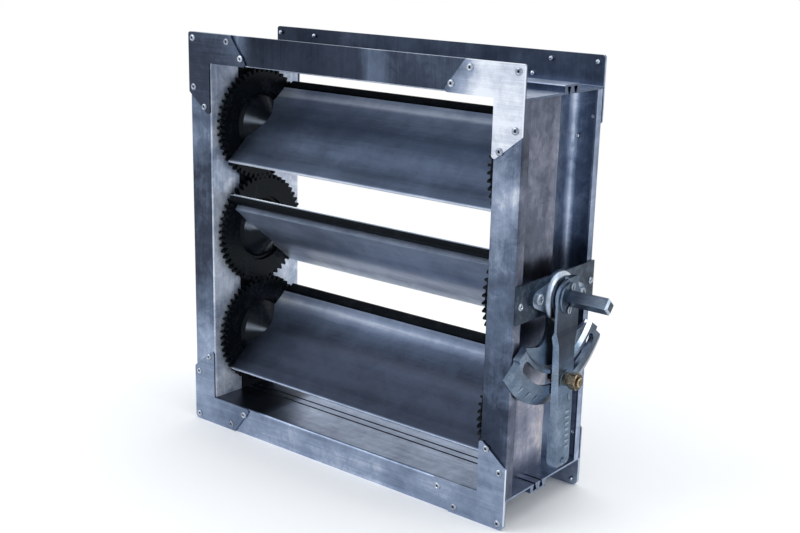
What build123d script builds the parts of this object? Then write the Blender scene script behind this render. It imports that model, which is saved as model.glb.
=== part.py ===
from build123d import *
import os
from math import acos, cos, pi, radians, sin, sqrt, tan

# Gear-operated volume control damper with three opposed aerofoil blades.
# Millimetres. Origin at the centre of the duct opening: X to the right along the blades,
# Y downstream, Z up. The lever side is at +X.

# Frame members of bent sheet
frame_width = 360.0
frame_height = 370.0
frame_depth = 114.0
flange_reach = 26.5
sheet = 1.6
bend_radius = 0.5
lip_length = 9.2
top_corner_radius = 2.5
bottom_corner_radius = 5.5

# Wide recess in the side members, filled by the bearing strips
recess_half_width = 21.5
recess_depth = 8.0
strip_side_fit = 0.1

# Raised rib with two screw ports along the top and the bottom member
rib_offset = 8.8
rib_width = 22.0
rib_height = 5.7
rib_round = 1.2
port_spacing = 9.4
port_width = 5.4
port_throat_width = 3.0
port_skin = 1.5
port_slot_width = 2.2

# Corner plates and their blind rivets, measured from the outer corner
plate_thickness = 1.5
plate_outer_leg = 53.5
plate_inner_leg = 74.5
plate_tip_radius = 2.5
rivet_inset = 5.5
rivet_outer_margin = 9.25
rivet_outer_inset = 6.0
rivet_inner_margin = 2.95
rivet_inner_inset = 19.5
rivet_radius = 1.6
rivet_fit = 0.05
rivet_head_radius = 3.15
rivet_crown_radius = 1.9
rivet_head_height = 1.2
rivet_tail_length = 3.0

# Blades: chord along u, thickness along v
blade_pitch = 100.0
rest_angle = 40.0
blade_half_chord = 53.0
body_half_chord = 42.5
edge_half_thickness = 5.1
wing_half_chord = 24.0
wing_half_thickness = 5.8
centre_half_thickness = 9.0
blade_wall = 1.5
lip_thickness = 1.8
core_wall = 1.7
seal_groove = 2.5
seal_overhang = 3.0
seal_height = 5.1
seal_round = 2.8

# Gears, moulded in one piece with a boss, a shoulder and a journal
gear_module = 2.0
gear_teeth = 50
gear_width = 6.0
gear_side_gap = 1.7
dish_radius = 31.0
dish_depth = 2.5
pressure_angle = 20.0
dedendum_factor = 1.25
tooth_thinning = 0.30
tip_shortening = 0.25
boss_base_radius = 28.0
boss_tip_radius = 8.2
boss_length = 15.0
blade_fit = 0.08
shoulder_radius = 14.0
shoulder_gap = 0.25
journal_radius = 10.0
journal_fit = 0.05
journal_end_gap = 0.4

# Drive shaft
shaft_side = 10.0
shaft_fit = 0.05
shaft_grip = 55.0
shaft_free_length = 37.1
shaft_chamfer = 1.6
shaft_clearance = 0.6

# Mounting strip across the right side member
strip_thickness = 2.0
strip_bottom = -12.5
strip_top = 18.0
strip_rivet_inset = 5.0
strip_rivet_z = 1.5

# Locking quadrant
flange_thickness = 3.0
flange_radius = 17.0
neck_half_width = 14.5
neck_flare_start = -21.5
neck_flare_radius = 14.5
neck_foot = 32.0
neck_foot_reach = 46.0
neck_overlap = 2.5
hub_radius = 21.0
hub_height = 5.8
hub_round = 4.4
hub_well_radius = 14.5
hub_well_depth = 2.5
ear_reach = 32.0
ear_rise = 4.0
ear_radius = 7.4
sector_inner = 54.5
sector_inner_bevel = 5.0
sector_outer = 89.0
sector_outer_bevel = 9.5
sector_edge = 1.6
sector_height = 5.8
sector_step_radius = 70.5
sector_half_angle = 56.5
sector_step_half_angle = 54.0
slot_radius = 67.3
slot_width = 10.0
slot_half_angle = 45.5
groove_width = 13.6
groove_depth = 2.6
groove_overrun = 1.0

# Screws of the quadrant ears
screw_radius = 2.4
screw_head_radius = 4.6
screw_head_height = 2.8
screw_reach = 3.0
screw_head_round = 1.2
cross_width = 1.1
cross_length = 5.0
cross_depth = 1.2

# Lever
lever_gap = 0.8
lever_skin = 1.5
lever_head_radius = 16.0
lever_head_plate = 2.0
lever_plate = 4.8
lever_shoulder = -25.5
lever_shoulder_run = 5.0
lever_waist = -38.0
lever_neck_half_width = 12.0
lever_end_half_width = 9.2
lever_length = 145.0
lever_back_step = -98.0
lever_back_drop = 1.6
lever_grip_rise = 0.6
lever_end_rise = 3.8
lever_end_front_round = 7.0
lever_end_back_round = 2.5
lever_boss_radius = 12.8
lever_boss_height = 1.4
lug_reach = 13.5
lug_rise = 16.2
lug_round = 3.0
notch_width = 1.4
notch_offset = -1.0
button_offset = 1.7
button_radius = 2.6
button_height = 0.9

# Two opposite clamp screws that hold the lever on the shaft
clamp_radius = 2.0
clamp_head_radius = 3.0
clamp_head_height = 1.0
clamp_offset = 9.3
clamp_angle = 78.0

# Lock bolt, collar and nut
bolt_radius = 4.0
bolt_fit = 0.05
bolt_head_radius = 6.0
bolt_head_height = 3.2
bolt_head_gap = 0.3
bolt_stub = 2.0
bolt_end_chamfer = 0.8
collar_radius = 5.6
collar_height = 4.6
nut_flats = 13.0
nut_height = 6.8
nut_turned_radius = 7.2
nut_chamfer = 0.8
pad_radius = 7.8
pad_rise = 2.0

# Places that follow from the sizes above
half_width = frame_width / 2
half_height = frame_height / 2
half_depth = frame_depth / 2
plate_slant = (plate_inner_leg - plate_outer_leg) / flange_reach
rivet_outer_reach = plate_outer_leg + plate_slant * rivet_outer_inset - rivet_outer_margin
rivet_inner_reach = plate_outer_leg + plate_slant * rivet_inner_inset - rivet_inner_margin
strip_rivet_y = half_depth - strip_rivet_inset
opening_x = half_width - flange_reach
opening_z = half_height - flange_reach
recess_floor = opening_x + recess_depth
gear_outer_face = opening_x - gear_side_gap
gear_inner_face = gear_outer_face - gear_width
pitch_radius = gear_module * gear_teeth / 2
tip_radius = pitch_radius + gear_module - tip_shortening
root_radius = pitch_radius - dedendum_factor * gear_module
base_radius = pitch_radius * cos(radians(pressure_angle))
shaft_half_diagonal = shaft_side / sqrt(2)
shaft_bore_radius = shaft_half_diagonal + shaft_clearance
strip_face = half_width + strip_thickness
flange_face = strip_face + flange_thickness
sector_face = strip_face + sector_height
lever_back = sector_face + lever_gap
lever_back_low = lever_back - lever_back_drop
lever_front = lever_back + lever_plate
head_back = lever_front - lever_head_plate
lever_end_front = lever_front + lever_end_rise
lever_end_z = lever_end_half_width - lever_length
pad_face = lever_front + pad_rise
shaft_end = lever_front + shaft_free_length
clamp_floor = lever_back + lever_skin
opening_turn = 90 - rest_angle

# Plane of a blade section when closed: u points up, v points upstream
blade_plane = Plane(origin=(0, 0, 0), x_dir=(0, 0, 1), z_dir=(1, 0, 0))


def lever_plane(x):
    """Plane facing the lever side at X = x, with its own x along Y and its own y along Z."""
    return Plane(origin=(x, 0, 0), x_dir=(0, 1, 0), z_dir=(1, 0, 0))


def bent_sheet(points):
    """Section of a bent sheet to the right of the path, with the right radius at every bend."""
    radii = []
    for before, corner, after in zip(points, points[1:], points[2:]):
        run_in = (corner[0] - before[0], corner[1] - before[1])
        run_out = (after[0] - corner[0], after[1] - corner[1])
        turn = run_in[0] * run_out[1] - run_in[1] * run_out[0]
        radii.append(bend_radius if turn > 0 else bend_radius + sheet)
    path = Wire(FilletPolyline(*points, radius=radii).edges())
    return make_face(path.offset_2d(sheet, kind=Kind.INTERSECTION, side=Side.RIGHT).edges())


def rounded_bar(start, end, radius):
    """Round bar along X from one X to another."""
    return extrude(lever_plane(start) * Circle(radius), amount=end - start)


def side_member():
    """Right side member, standing between the top and the bottom member."""
    lip_edge = half_depth - lip_length
    section = bent_sheet(
        [
            (half_width, -lip_edge),
            (half_width, -half_depth),
            (opening_x, -half_depth),
            (opening_x, -recess_half_width),
            (recess_floor, -recess_half_width),
            (recess_floor, recess_half_width),
            (opening_x, recess_half_width),
            (opening_x, half_depth),
            (half_width, half_depth),
            (half_width, lip_edge),
        ]
    )
    return extrude(Plane.XY * section, amount=opening_z, both=True)


def port_outline():
    """Screw port and its slot to the duct, as seen in the section of the top member."""
    web_face = opening_z + sheet
    port_top = web_face + rib_height - port_skin
    port = Polyline(
        (-port_throat_width / 2, web_face),
        (port_throat_width / 2, web_face),
        (port_width / 2, port_top),
        (-port_width / 2, port_top),
        close=True,
    )
    slot = Pos(0, opening_z + sheet / 2) * Rectangle(port_slot_width, 2 * sheet)
    return make_face(port.edges()) + slot


def top_member(corner_radius):
    """Top member, full width, with its rib of two screw ports and rounded flange corners."""
    section = bent_sheet(
        [
            (half_depth, half_height),
            (half_depth, opening_z),
            (-half_depth, opening_z),
            (-half_depth, half_height),
        ]
    )
    rib_centre = opening_z + (sheet + rib_height) / 2
    rib = Pos(rib_offset, rib_centre) * Rectangle(rib_width, sheet + rib_height)
    rib = fillet(rib.vertices().group_by(Axis.Y)[-1], rib_round)
    section += rib
    for side in (-1, 1):
        section -= Pos(rib_offset + side * port_spacing / 2, 0) * port_outline()
    member = extrude(Plane.YZ * section, amount=half_width, both=True)
    corners = member.edges().filter_by(Axis.Y).group_by(Axis.Z)[-1]
    return fillet(corners, corner_radius)


def rivet_places():
    """The five rivets of a corner plate, as distances inward from the outer corner."""
    return [
        (rivet_inset, rivet_inset),
        (rivet_outer_reach, rivet_outer_inset),
        (rivet_outer_inset, rivet_outer_reach),
        (rivet_inner_reach, rivet_inner_inset),
        (rivet_inner_inset, rivet_inner_reach),
    ]


def corner_plate(corner_radius):
    """L-shaped plate with slanted ends, on the front flange at the upper right corner."""
    outline = Polyline(
        (half_width, half_height),
        (half_width - plate_outer_leg, half_height),
        (half_width - plate_inner_leg, opening_z),
        (opening_x, opening_z),
        (opening_x, half_height - plate_inner_leg),
        (half_width, half_height - plate_outer_leg),
        close=True,
    )
    plate = make_face(outline.edges())
    by_reach = plate.vertices().sort_by(lambda v: v.X + v.Y)
    plate = fillet(by_reach[:4], plate_tip_radius)
    plate = fillet(plate.vertices().sort_by(lambda v: v.X + v.Y)[-1:], corner_radius)
    for a, b in rivet_places():
        plate -= Pos(half_width - a, half_height - b) * Circle(rivet_radius + rivet_fit)
    front = Plane(origin=(0, -half_depth, 0), x_dir=(1, 0, 0), z_dir=(0, -1, 0))
    return extrude(front * plate, amount=plate_thickness)


def blind_rivet(grip):
    """Blind rivet along Z: head above z = 0, sheets of total thickness grip below."""
    shank_length = grip + rivet_tail_length
    head = Pos(0, 0, rivet_head_height / 2) * Cone(rivet_head_radius, rivet_crown_radius, rivet_head_height)
    return head + Pos(0, 0, -shank_length / 2) * Cylinder(rivet_radius, shank_length)


def flange_rivets(side_y):
    """All rivets of the corner plates on one flange."""
    face_y = side_y * (half_depth + plate_thickness)
    rivets = []
    for side_x in (-1, 1):
        for side_z in (-1, 1):
            for a, b in rivet_places():
                origin = (side_x * (half_width - a), face_y, side_z * (half_height - b))
                place = Plane(origin=origin, x_dir=(1, 0, 0), z_dir=(0, side_y, 0))
                rivets.append(place.location * blind_rivet(plate_thickness + sheet))
    return rivets


def drill_corners(member):
    """The member with the rivet holes of its corner plates through both flanges."""
    for side_x in (-1, 1):
        for side_z in (-1, 1):
            for a, b in rivet_places():
                origin = (side_x * (half_width - a), 0, side_z * (half_height - b))
                place = Plane(origin=origin, x_dir=(1, 0, 0), z_dir=(0, 1, 0))
                hole = place * Circle(rivet_radius + rivet_fit)
                member -= extrude(hole, amount=half_depth + sheet, both=True)
    return member


def skin_curve(side, inset):
    """Skin of the blade body between its edges, moved inward by the inset."""
    end = body_half_chord - inset
    points = [
        (-end, edge_half_thickness - inset),
        (-wing_half_chord, wing_half_thickness - inset),
        (0, centre_half_thickness - inset),
        (wing_half_chord, wing_half_thickness - inset),
        (end, edge_half_thickness - inset),
    ]
    return Spline(*[(u, side * v) for u, v in points])


def body_outline(inset):
    """Closed outline of the blade body, moved inward by the inset."""
    end = body_half_chord - inset
    edge = edge_half_thickness - inset
    front, back = skin_curve(1, inset), skin_curve(-1, inset)
    ends = [Line((side * end, -edge), (side * end, edge)) for side in (-1, 1)]
    return make_face(front.edges() + back.edges() + ends[0].edges() + ends[1].edges())


def blade_section(grow=0.0):
    """Hollow aerofoil with a square shaft channel, its walls grown on each side by a fit."""
    channel = shaft_side + 2 * shaft_fit
    core = Rectangle(channel + 2 * core_wall + 2 * grow, 2 * centre_half_thickness)
    section = body_outline(-grow) - (body_outline(blade_wall + grow) - core)
    section -= Rectangle(channel - 2 * grow, channel - 2 * grow)
    lip_length_u = blade_half_chord - body_half_chord + blade_wall
    lip_centre = blade_half_chord - lip_length_u / 2
    for side in (-1, 1):
        lip_v = -side * (edge_half_thickness - lip_thickness / 2)
        section += Pos(side * lip_centre, lip_v) * Rectangle(lip_length_u, lip_thickness)
    return section


def to_rest(shape, turn, z):
    """A shape of the closed blade at its rest turn and height."""
    return Pos(0, 0, z) * Rot(turn, 0, 0) * shape


def blade():
    """Closed blade, as long as the space between the gears."""
    return extrude(blade_plane * blade_section(), amount=gear_inner_face, both=True)


def seal():
    """Sealing strip on the seal lip of the closed blade, reaching past the lip."""
    start = body_half_chord + seal_groove
    width = blade_half_chord + seal_overhang - start
    lip_face = -edge_half_thickness + lip_thickness
    strip = Pos(start + width / 2, lip_face + seal_height / 2) * Rectangle(width, seal_height)
    strip = fillet(strip.vertices().group_by(Axis.Y)[-1], seal_round)
    return extrude(blade_plane * strip, amount=gear_inner_face, both=True)


def flank_angle(radius):
    """Half the angle of an involute tooth at a radius, in radians."""
    thickness = pi * gear_module / 2 - tooth_thinning
    contact = radians(pressure_angle)
    at_radius = acos(base_radius / radius)
    involute = tan(contact) - contact - (tan(at_radius) - at_radius)
    return thickness / (2 * pitch_radius) + involute


def gear_outline(first_tooth):
    """Outline of the toothed ring with one tooth centred at the first_tooth angle from the top."""
    radii = [root_radius, pitch_radius, tip_radius]
    flank = [(-flank_angle(r), r) for r in radii] + [(flank_angle(r), r) for r in reversed(radii)]
    points = []
    for tooth in range(gear_teeth):
        centre = radians(first_tooth) + 2 * pi * tooth / gear_teeth
        points += [(r * sin(centre + a), r * cos(centre + a)) for a, r in flank]
    return make_face(Polyline(*points, close=True).edges())


def gear(first_tooth, turn, z, bore):
    """Right-hand gear at rest: dished ring, conical boss, shoulder and journal."""
    shoulder_face = opening_x - shoulder_gap
    journal_end = recess_floor - journal_end_gap
    dish_floor = gear_inner_face + dish_depth
    hub = Polyline(
        (gear_inner_face - boss_length, 0),
        (gear_inner_face - boss_length, boss_tip_radius),
        (dish_floor, boss_base_radius),
        (gear_outer_face, boss_base_radius),
        (gear_outer_face, shoulder_radius),
        (shoulder_face, shoulder_radius),
        (shoulder_face, journal_radius),
        (journal_end, journal_radius),
        (journal_end, 0),
        close=True,
    )
    body = extrude(lever_plane(gear_inner_face) * gear_outline(first_tooth), amount=gear_width)
    body -= rounded_bar(gear_inner_face, dish_floor, dish_radius)
    body += revolve(make_face(hub.edges()), axis=Axis.X)
    socket = extrude(blade_plane * blade_section(blade_fit), amount=gear_inner_face)
    body -= Rot(turn, 0, 0) * socket
    if bore:
        body -= Rot(turn, 0, 0) * extrude(blade_plane * shaft_hole(), amount=half_width)
    return Pos(0, 0, z) * body


def shaft_hole():
    """Square hole for the drive shaft."""
    return Rectangle(shaft_side + 2 * shaft_fit, shaft_side + 2 * shaft_fit)


def drive_shaft():
    """Square bar with a chamfered outer end, its flats along the chord of the closed blade."""
    start = gear_inner_face - shaft_grip
    bar = blade_plane.offset(start) * Rectangle(shaft_side, shaft_side)
    bar = extrude(bar, amount=shaft_end - start)
    return chamfer(bar.faces().sort_by(Axis.X)[-1].edges(), shaft_chamfer)


def bearing_strip():
    """Plastic strip in the recess of the right side member, with a hole for each journal."""
    width = 2 * (recess_half_width - strip_side_fit)
    section = Pos(opening_x + recess_depth / 2, 0) * Rectangle(recess_depth, width)
    floor_side = section.vertices().group_by(Axis.X)[-1]
    strip = extrude(Plane.XY * chamfer(floor_side, 2 * bend_radius), amount=opening_z, both=True)
    for row in (-1, 0, 1):
        hole = rounded_bar(opening_x, recess_floor, journal_radius + journal_fit)
        strip -= Pos(0, 0, row * blade_pitch) * hole
    return strip


def mounting_strip():
    """Flat strip from lip to lip of the right side member, which carries the quadrant."""
    middle = (strip_top + strip_bottom) / 2
    strip = Pos(0, middle) * Rectangle(frame_depth, strip_top - strip_bottom)
    strip -= Circle(shaft_bore_radius)
    for side in (-1, 1):
        strip -= Pos(side * strip_rivet_y, strip_rivet_z) * Circle(rivet_radius + rivet_fit)
        strip -= Pos(side * ear_reach, -side * ear_rise) * Circle(screw_radius + rivet_fit)
    return extrude(lever_plane(half_width) * strip, amount=strip_thickness)


def strip_rivets():
    """The two rivets of the mounting strip."""
    rivets = []
    for side in (-1, 1):
        place = lever_plane(strip_face) * Pos(side * strip_rivet_y, strip_rivet_z)
        rivets.append(place * blind_rivet(strip_thickness + sheet))
    return rivets


def ring_cut(radius, width, half_angle, start, height):
    """Arc-shaped slot below the shaft, centred on the shaft axis."""
    arc = CenterArc((0, 0), radius, -90 - half_angle, 2 * half_angle)
    return extrude(lever_plane(start) * SlotArc(arc, width), amount=height)


def revolved_band(profile, half_angle):
    """Arc below the shaft axis with the given (X, radius) profile."""
    face = make_face(Polyline(*profile, close=True).edges())
    ring = revolve(face, axis=Axis.X, revolution_arc=2 * half_angle)
    return Rot(-90 - half_angle, 0, 0) * ring


def sector():
    """Bevelled sector of the quadrant, its outer band a little shorter than the inner one."""
    inner_side = [
        (strip_face, sector_inner),
        (strip_face + sector_edge, sector_inner),
        (sector_face, sector_inner + sector_inner_bevel),
    ]
    outer_side = [
        (sector_face, sector_outer - sector_outer_bevel),
        (strip_face + sector_edge, sector_outer),
        (strip_face, sector_outer),
    ]
    step = [(sector_face, sector_step_radius), (strip_face, sector_step_radius)]
    whole = revolved_band(inner_side + outer_side, sector_step_half_angle)
    return whole + revolved_band(inner_side + step, sector_half_angle)


def quadrant_neck():
    """Flat neck that flares from the hub to the ends of the sector."""
    flare_y = neck_half_width + neck_flare_radius
    flare_z = neck_flare_start - neck_flare_radius
    right = [
        Line((neck_half_width, 0), (neck_half_width, neck_flare_start)),
        RadiusArc((neck_half_width, neck_flare_start), (flare_y, flare_z), -neck_flare_radius),
        Line((flare_y, flare_z), (neck_foot_reach, -neck_foot)),
    ]
    left = [mirror(line, about=Plane.YZ) for line in right]
    top = Line((-neck_half_width, 0), (neck_half_width, 0))
    foot_middle = (0, -sector_inner - neck_overlap)
    bottom = ThreePointArc((-neck_foot_reach, -neck_foot), foot_middle, (neck_foot_reach, -neck_foot))
    outline = make_face([edge for line in right + left + [top, bottom] for edge in line.edges()])
    return extrude(lever_plane(strip_face) * outline, amount=flange_thickness)


def quadrant_flange():
    """Oval flange under the hub, with a screw ear on each side."""
    ears = [Pos(side * ear_reach, -side * ear_rise) * Circle(ear_radius) for side in (-1, 1)]
    outline = make_hull(ears[0].edges() + ears[1].edges() + Circle(flange_radius).edges())
    return extrude(lever_plane(strip_face) * outline, amount=flange_thickness)


def quadrant():
    """Cast quadrant: hub ring on an oval flange, flared neck and slotted sector."""
    body = quadrant_neck() + sector() + quadrant_flange()
    hub = rounded_bar(strip_face, strip_face + hub_height, hub_radius)
    body += fillet(hub.edges().sort_by(Axis.X)[-1], hub_round)
    well_floor = strip_face + hub_height - hub_well_depth
    body -= rounded_bar(well_floor, strip_face + hub_height, hub_well_radius)
    for side in (-1, 1):
        hole = rounded_bar(strip_face, flange_face, screw_radius + rivet_fit)
        body -= Pos(0, side * ear_reach, -side * ear_rise) * hole
    body -= rounded_bar(strip_face, strip_face + hub_height, shaft_bore_radius)
    body -= ring_cut(slot_radius, slot_width, slot_half_angle, strip_face, sector_height)
    groove_half_angle = slot_half_angle + groove_overrun
    body -= ring_cut(slot_radius, groove_width, groove_half_angle, strip_face, groove_depth)
    return body


def ear_screws():
    """Pan-head screws with a cross recess, through the ears into the mounting strip."""
    screws = []
    for side in (-1, 1):
        head = rounded_bar(flange_face, flange_face + screw_head_height, screw_head_radius)
        screw = fillet(head.edges().sort_by(Axis.X)[-1], screw_head_round)
        screw += rounded_bar(strip_face - strip_thickness - screw_reach, flange_face, screw_radius)
        cross = Rectangle(cross_width, cross_length) + Rectangle(cross_length, cross_width)
        screw -= extrude(lever_plane(flange_face + screw_head_height) * cross, amount=-cross_depth)
        screws.append(Pos(0, side * ear_reach, -side * ear_rise) * screw)
    return screws


def lever_outline():
    """Outline of the lever, seen along the shaft: broad head, narrower tapering grip, round end."""
    head = Polyline(
        (lever_head_radius, 0),
        (lever_head_radius, lever_shoulder),
        (lever_neck_half_width, lever_waist),
        (-lever_neck_half_width, lever_waist),
        (-lever_head_radius, lever_shoulder),
        (-lever_head_radius, 0),
        close=True,
    )
    taper = make_hull(
        (Pos(0, lever_waist) * Circle(lever_neck_half_width)).edges()
        + (Pos(0, lever_end_z) * Circle(lever_end_half_width)).edges()
    )
    return Circle(lever_head_radius) + make_face(head.edges()) + taper


def lever_side_view():
    """Outline of the lever seen from the front: thin head, thick grip with a rounded end."""
    waist_x = lever_front + lever_grip_rise
    outline = Polyline(
        (head_back, lever_head_radius),
        (lever_front, lever_head_radius),
        (lever_front, lever_shoulder),
        (waist_x, lever_shoulder - lever_shoulder_run),
        (lever_end_front, -lever_length),
        (lever_back_low, -lever_length),
        (lever_back_low, lever_back_step - lever_shoulder_run),
        (lever_back, lever_back_step),
        (lever_back, lever_shoulder - lever_shoulder_run),
        (head_back, lever_shoulder),
        close=True,
    )
    view = make_face(outline.edges())
    front = view.vertices().group_by(Axis.Y)[0].sort_by(Axis.X)[-1]
    view = fillet(front, lever_end_front_round)
    back = view.vertices().group_by(Axis.Y)[0].sort_by(Axis.X)[0]
    return fillet(back, lever_end_back_round)


def lever():
    """Cast lever: thin clamp head with a lug and a notch, thick grip, pad for the lock bolt."""
    body = extrude(Plane.XZ * lever_side_view(), amount=lever_head_radius, both=True)
    body &= extrude(lever_plane(lever_back_low) * lever_outline(), amount=half_width)
    body += rounded_bar(lever_back, lever_front + lever_boss_height, lever_boss_radius)
    lug = Pos(lug_reach / 2, lug_rise / 2) * Rectangle(lug_reach, lug_rise)
    lug = fillet(lug.vertices().sort_by(lambda v: v.X + v.Y)[-1], lug_round)
    body += extrude(lever_plane(lever_back) * lug, amount=lever_plate)
    body += Pos(0, 0, -slot_radius) * rounded_bar(lever_back, pad_face, pad_radius)
    button = rounded_bar(lever_back, lever_end_front + button_height, button_radius)
    body += Pos(0, 0, lever_end_z - button_offset) * button
    body -= Rot(opening_turn, 0, 0) * extrude(blade_plane * shaft_hole(), amount=shaft_end)
    notch_depth = lug_rise - lever_boss_radius
    notch = Pos(notch_offset, lever_boss_radius + notch_depth / 2) * Rectangle(notch_width, notch_depth)
    body -= extrude(lever_plane(lever_back) * notch, amount=lever_plate)
    body -= Pos(0, 0, -slot_radius) * rounded_bar(lever_back_low, shaft_end, bolt_radius + bolt_fit)
    for angle in (clamp_angle, clamp_angle + 180):
        body -= clamp_place(angle) * rounded_bar(clamp_floor, shaft_end, clamp_radius + bolt_fit)
    return body


def clamp_place(angle):
    """Place of a clamp screw at an angle round the shaft."""
    return Pos(0, clamp_offset * cos(radians(angle)), clamp_offset * sin(radians(angle)))


def clamp_screw(angle):
    """Small slotted screw in the boss of the lever."""
    face = lever_front + lever_boss_height
    screw = rounded_bar(clamp_floor, face, clamp_radius)
    screw += rounded_bar(face, face + clamp_head_height, clamp_head_radius)
    slot = Rot(0, 0, angle) * Rectangle(cross_length, cross_width)
    screw -= extrude(lever_plane(face + clamp_head_height) * slot, amount=-clamp_head_height / 2)
    return clamp_place(angle) * screw


def lock_bolt():
    """Bolt with a round head in the groove behind the sector, out through slot, lever and nut."""
    head_face = strip_face + groove_depth - bolt_head_gap
    end = pad_face + collar_height + nut_height + bolt_stub
    bolt = rounded_bar(head_face - bolt_head_height, head_face, bolt_head_radius)
    bolt += rounded_bar(head_face, end, bolt_radius)
    bolt = chamfer(bolt.edges().sort_by(Axis.X)[-1], bolt_end_chamfer)
    return Pos(0, 0, -slot_radius) * bolt


def lock_collar():
    """Round collar between the lever pad and the nut."""
    ring = rounded_bar(pad_face, pad_face + collar_height, collar_radius)
    ring -= rounded_bar(pad_face, pad_face + collar_height, bolt_radius + bolt_fit)
    return Pos(0, 0, -slot_radius) * ring


def lock_nut():
    """Hexagon nut with turned corners."""
    start = pad_face + collar_height
    hexagon = RegularPolygon(nut_flats / 2, 6, major_radius=False) - Circle(bolt_radius + bolt_fit)
    nut = extrude(lever_plane(start) * hexagon, amount=nut_height)
    turned = rounded_bar(start, start + nut_height, nut_turned_radius)
    nut &= chamfer(turned.edges(), nut_chamfer)
    return Pos(0, 0, -slot_radius) * nut


def solids_of(shapes):
    """One compound of separate solids."""
    return Compound(children=[solid for shape in shapes for solid in shape.solids()])


def mirrored(shape):
    """The same piece on the left side."""
    return mirror(shape, about=Plane.YZ)


def build_parts():
    """Every node of the damper, by name."""
    parts = {}
    parts["frame_top"] = drill_corners(top_member(top_corner_radius))
    parts["frame_bottom"] = drill_corners(Rot(180, 0, 0) * top_member(bottom_corner_radius))
    right = drill_corners(side_member())
    parts["frame_left"] = mirrored(right)
    for side in (-1, 1):
        place = Pos(0, side * strip_rivet_y, strip_rivet_z)
        right -= place * rounded_bar(half_width - sheet, half_width, rivet_radius + rivet_fit)
    right -= rounded_bar(recess_floor, half_width, shaft_bore_radius)
    parts["frame_right"] = right
    parts["bearing_strip_right"] = bearing_strip()
    parts["bearing_strip_left"] = mirrored(parts["bearing_strip_right"])

    for level, flip, radius in (("top", False, top_corner_radius), ("bottom", True, bottom_corner_radius)):
        front = corner_plate(radius)
        front = mirror(front, about=Plane.XY) if flip else front
        rear = mirror(front, about=Plane.XZ)
        parts[f"corner_plate_front_{level}_right"] = front
        parts[f"corner_plate_front_{level}_left"] = mirrored(front)
        parts[f"corner_plate_rear_{level}_right"] = rear
        parts[f"corner_plate_rear_{level}_left"] = mirrored(rear)
    parts["rivets_front"] = solids_of(flange_rivets(-1))
    parts["rivets_rear"] = solids_of(flange_rivets(1))

    half_tooth = 180 / gear_teeth
    rows = (
        ("top", blade_pitch, -opening_turn, half_tooth),
        ("middle", 0, opening_turn, 0),
        ("bottom", -blade_pitch, -opening_turn, half_tooth),
    )
    for row, z, turn, first_tooth in rows:
        idler = gear(first_tooth, turn, z, bore=False)
        driven = gear(first_tooth, turn, z, bore=True) if row == "middle" else idler
        parts[f"gear_{row}_left"] = mirrored(idler)
        parts[f"gear_{row}_right"] = driven
        parts[f"blade_{row}"] = to_rest(blade(), turn, z)
        parts[f"blade_seal_{row}"] = to_rest(seal(), turn, z)

    parts["drive_shaft"] = Rot(opening_turn, 0, 0) * drive_shaft()
    parts["mounting_strip"] = mounting_strip()
    parts["mounting_strip_rivets"] = solids_of(strip_rivets())
    parts["locking_quadrant"] = quadrant()
    parts["quadrant_screws"] = solids_of(ear_screws())
    parts["lever"] = lever()
    parts["lever_clamp_screw"] = solids_of([clamp_screw(clamp_angle), clamp_screw(clamp_angle + 180)])
    parts["lock_bolt"] = lock_bolt()
    parts["lock_collar"] = lock_collar()
    parts["lock_nut"] = lock_nut()
    return parts


os.makedirs("parts", exist_ok=True)
for name, shape in build_parts().items():
    export_step(shape, f"parts/{name}.step")
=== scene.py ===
# %% [markdown]
# This lesson dresses a duct damper: a flanged frame of aluminium sheet, three hollow blades that
# black plastic gears turn in opposition, and a cast lever that locks on a slotted quadrant.
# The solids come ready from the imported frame. Each one gets its finish here, and the plain rivets
# give way to turned ones. The first step loads the solids and keeps their box.

# %% Load the frame
from math import cos, pi, radians, sin

import bpy
from mathutils import Matrix, Vector


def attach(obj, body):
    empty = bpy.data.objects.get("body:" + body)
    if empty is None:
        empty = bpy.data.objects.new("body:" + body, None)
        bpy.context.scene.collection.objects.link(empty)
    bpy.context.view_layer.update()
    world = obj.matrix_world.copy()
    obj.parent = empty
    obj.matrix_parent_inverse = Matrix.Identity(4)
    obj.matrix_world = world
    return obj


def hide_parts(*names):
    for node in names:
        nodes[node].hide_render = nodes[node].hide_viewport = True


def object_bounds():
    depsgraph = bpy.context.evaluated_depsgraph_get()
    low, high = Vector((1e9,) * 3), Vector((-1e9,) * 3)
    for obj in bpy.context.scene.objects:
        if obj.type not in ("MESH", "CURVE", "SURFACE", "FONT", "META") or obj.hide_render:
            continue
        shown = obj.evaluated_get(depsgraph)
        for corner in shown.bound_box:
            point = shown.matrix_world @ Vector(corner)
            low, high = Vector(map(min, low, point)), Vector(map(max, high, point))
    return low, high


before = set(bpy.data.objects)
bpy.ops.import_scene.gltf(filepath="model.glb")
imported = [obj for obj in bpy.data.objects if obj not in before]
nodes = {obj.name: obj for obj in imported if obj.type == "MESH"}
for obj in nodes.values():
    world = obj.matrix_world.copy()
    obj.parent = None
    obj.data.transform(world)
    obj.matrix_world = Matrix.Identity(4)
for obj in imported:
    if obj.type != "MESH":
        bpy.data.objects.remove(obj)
cad_box = [list(corner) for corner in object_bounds()]
MM = 0.001
print("solids:", len(nodes), "box:", cad_box)

# %% [markdown]
# The camera stands in front of the damper and to its right, a little above its top, about 1.1 m
# away. The lens and the place were solved from the corners of the two flanges. A rotation matrix
# is the surest way to give a camera a known view: its columns are the camera's right, its up, and
# the way opposite to its view.

# %% Camera
CAMERA_PLACE = Vector((665.6, -806.6, 273.4)) * MM
VIEW_RIGHT = Vector((0.7777, 0.6282, 0.0235))
VIEW_AHEAD = Vector((-0.6017, 0.7546, -0.2620))
SENSOR_WIDTH = 36.0
FOCAL_PIXELS = 1224.9
IMAGE_WIDTH = 800

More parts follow.
